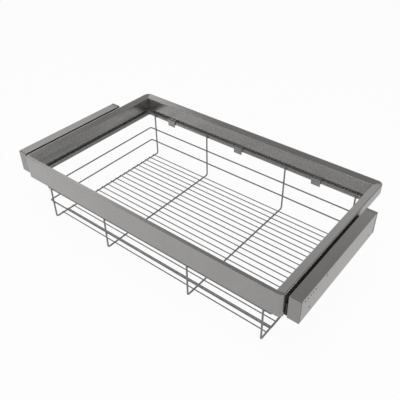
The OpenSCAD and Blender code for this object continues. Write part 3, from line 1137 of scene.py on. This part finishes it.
# The room's white falls off between these two heights of the view, 0 level and 1 straight up.
SKY_HEIGHT = {"From Min": 0.46, "From Max": 0.68, "To Min": 1.0, "To Max": 0.27}
# Each light's name, place, aim and size in metres, and the setting that holds its power.
LIGHTS = (
    ("ceiling_light", (0.3, -0.6, 3.0), (0, 0, 0), 2.0, "ceiling_power"),
    ("rear_light", (-6.05, 3.22, 5.82), (0, 0, 0.1), 2.1, "rear_power"),
    ("side_light", (-1.9, -1.3, 1.0), (-0.5, -0.4, 0), 0.8, "side_power"),
    ("right_light", (1.7, 0.6, 0.5), (0.43, 0, 0.12), 0.5, "right_power"),
)
# The camera's picture width in millimetres, and its shift.
SENSOR = 36
SHIFT = (-0.03835, -0.02865)


def plane(name, size, height, coat):
    """A square sheet that belongs to the stage."""
    mesh = bpy.data.meshes.new(name)
    s = size / 2
    mesh.from_pydata(
        [(-s, -s, height), (s, -s, height), (s, s, height), (-s, s, height)], [], [(0, 1, 2, 3)],
    )
    mesh.materials.append(coat)
    made = linked(name, mesh)


def floor_coat():
    """White floor: it keeps the drawer's faint shadow; the metal mirrors a painted reflection, a
    white glow that dims from left to right.
    """
    c = Coat("studio_floor")
    c.set(Base_Color=(0.9, 0.9, 0.9, 1), Roughness=0.9, Specular_IOR_Level=0.0)
    path = c.tree.nodes.new("ShaderNodeLightPath")
    mirrored = Sum(c, path.outputs["Is Glossy Ray"])
    seen = Sum(c, path.outputs["Is Camera Ray"]) + Sum(c, path.outputs["Is Transmission Ray"])
    x = c.node("ShaderNodeSeparateXYZ", {}, c.place)
    # Painted reflection: glossy rays see a glow that is brighter on the left and dimmer to the
    # right, in place of the floor's light and shadow.
    fade = c.ramp(x, FADE_FROM, FADE_TO, FADE_LEFT, FADE_RIGHT)
    glow = c.node("ShaderNodeEmission", {}, Color=(1, 1, 1, 1), Strength=1.0 - mirrored * fade)
    mixed = c.node("ShaderNodeMixShader", {})
    mix = mixed.socket.node
    c.feed(mix.inputs[0], FLOOR_WHITE * seen + mirrored)
    c.tree.links.new(c.shader.outputs[0], mix.inputs[1])
    c.tree.links.new(glow.socket, mix.inputs[2])
    out = c.tree.nodes["Material Output"]
    c.tree.links.new(mix.outputs[0], out.inputs["Surface"])
    return c.material


def studio_sky(strength):
    """White room, bright low down and dimmer above; the camera sees it plain white."""
    world = bpy.data.worlds.new("studio")
    bpy.context.scene.world = world
    world.use_nodes = True
    tree = world.node_tree
    background = tree.nodes["Background"]
    background.inputs["Color"].default_value = (1, 1, 1, 1)
    where = tree.nodes.new("ShaderNodeTexCoord")
    split = tree.nodes.new("ShaderNodeSeparateXYZ")
    tree.links.new(where.outputs["Generated"], split.inputs[0])
    height = tree.nodes.new("ShaderNodeMapRange")
    for socket, value in SKY_HEIGHT.items():
        height.inputs[socket].default_value = value
    tree.links.new(split.outputs["Z"], height.inputs["Value"])
    level = tree.nodes.new("ShaderNodeMath")
    level.operation = "MULTIPLY"
    level.inputs[1].default_value = strength
    tree.links.new(height.outputs[0], level.inputs[0])
    path = tree.nodes.new("ShaderNodeLightPath")
    pick = tree.nodes.new("ShaderNodeMix")
    tree.links.new(path.outputs["Is Camera Ray"], pick.inputs[0])
    tree.links.new(level.outputs[0], pick.inputs[2])
    pick.inputs[3].default_value = 1.0
    tree.links.new(pick.outputs[0], background.inputs["Strength"])


def soft_light(name, place, aim, size, power):
    """A square lamp that looks at its aim."""
    lamp = bpy.data.lights.new(name, "AREA")
    lamp.shape, lamp.size, lamp.energy = "SQUARE", size, power
    made = linked(name, lamp)
    made.location = place
    made.rotation_mode = "QUATERNION"
    made.rotation_quaternion = (Vector(aim) - Vector(place)).to_track_quat("-Z", "Y")


class DRAWER_OT_stage(bpy.types.Operator):
    """Make the floor, the light and the camera."""

    bl_idname = "drawer.stage"
    bl_label = "Floor, light and camera"

    def execute(self, context):
        p = context.scene.drawer_stage
        context.scene.view_settings.view_transform = "Standard"
        plane("studio_floor_sheet", FLOOR_SIZE, FLOOR_HEIGHT, floor_coat())
        studio_sky(p.sky)
        for name, place, aim, size, power in LIGHTS:
            soft_light(name, place, aim, size, getattr(p, power))
        cam = bpy.data.cameras.new("camera")
        cam.sensor_width, cam.lens = SENSOR, p.lens
        cam.shift_x, cam.shift_y = SHIFT
        cam.clip_start, cam.clip_end = 0.01, 100
        made = linked("camera", cam)
        yaw, pitch, roll = p.turn
        ahead = Vector((
            -math.sin(yaw) * math.cos(pitch), math.cos(yaw) * math.cos(pitch), -math.sin(pitch),
        ))
        right = Vector((math.cos(yaw), math.sin(yaw), 0))
        up = right.cross(ahead)
        side = math.cos(roll) * right + math.sin(roll) * up
        top = -math.sin(roll) * right + math.cos(roll) * up
        made.matrix_world = Matrix.Translation(Vector(p.camera_place)) @ Matrix(
            (side, top, -ahead)
        ).transposed().to_4x4()
        context.scene.camera = made
        return {"FINISHED"}


class DRAWER_PT_panel(bpy.types.Panel):
    """Lists the drawer's pieces and stage."""

    bl_idname = "DRAWER_PT_panel"
    bl_label = "Wire drawer"
    bl_space_type = "VIEW_3D"
    bl_region_type = "UI"
    bl_category = "Wire drawer"

    def draw(self, context):
        for key in GROUPS:
            group = getattr(context.scene, key)
            box = self.layout.box()
            for size in group.__annotations__:
                box.prop(group, size)
        for operator in OPERATORS:
            self.layout.operator(operator.bl_idname)


GROUPS = {
    "drawer_coats": DrawerCoats, "drawer_rails": DrawerRails, "drawer_basket": DrawerBasket,
    "drawer_fixings": DrawerFixings, "drawer_stage": DrawerStage,
}
OPERATORS = (
    DRAWER_OT_coats, DRAWER_OT_rails, DRAWER_OT_basket, DRAWER_OT_boxes, DRAWER_OT_slides,
    DRAWER_OT_fixings, DRAWER_OT_stage,
)


def register():
    for key, group in GROUPS.items():
        bpy.utils.register_class(group)
        setattr(bpy.types.Scene, key, bpy.props.PointerProperty(type=group))
    for operator in OPERATORS:
        bpy.utils.register_class(operator)
    bpy.utils.register_class(DRAWER_PT_panel)


def unregister():
    bpy.utils.unregister_class(DRAWER_PT_panel)
    for operator in reversed(OPERATORS):
        bpy.utils.unregister_class(operator)
    for key, group in GROUPS.items():
        delattr(bpy.types.Scene, key)
        bpy.utils.unregister_class(group)


def main():
    register()
    bpy.ops.drawer.coats()
    bpy.ops.drawer.rails()
    bpy.ops.drawer.basket()
    bpy.ops.drawer.boxes()
    bpy.ops.drawer.slides()
    bpy.ops.drawer.fixings()
    bpy.ops.drawer.stage()


if __name__ == "__main__":
    main()
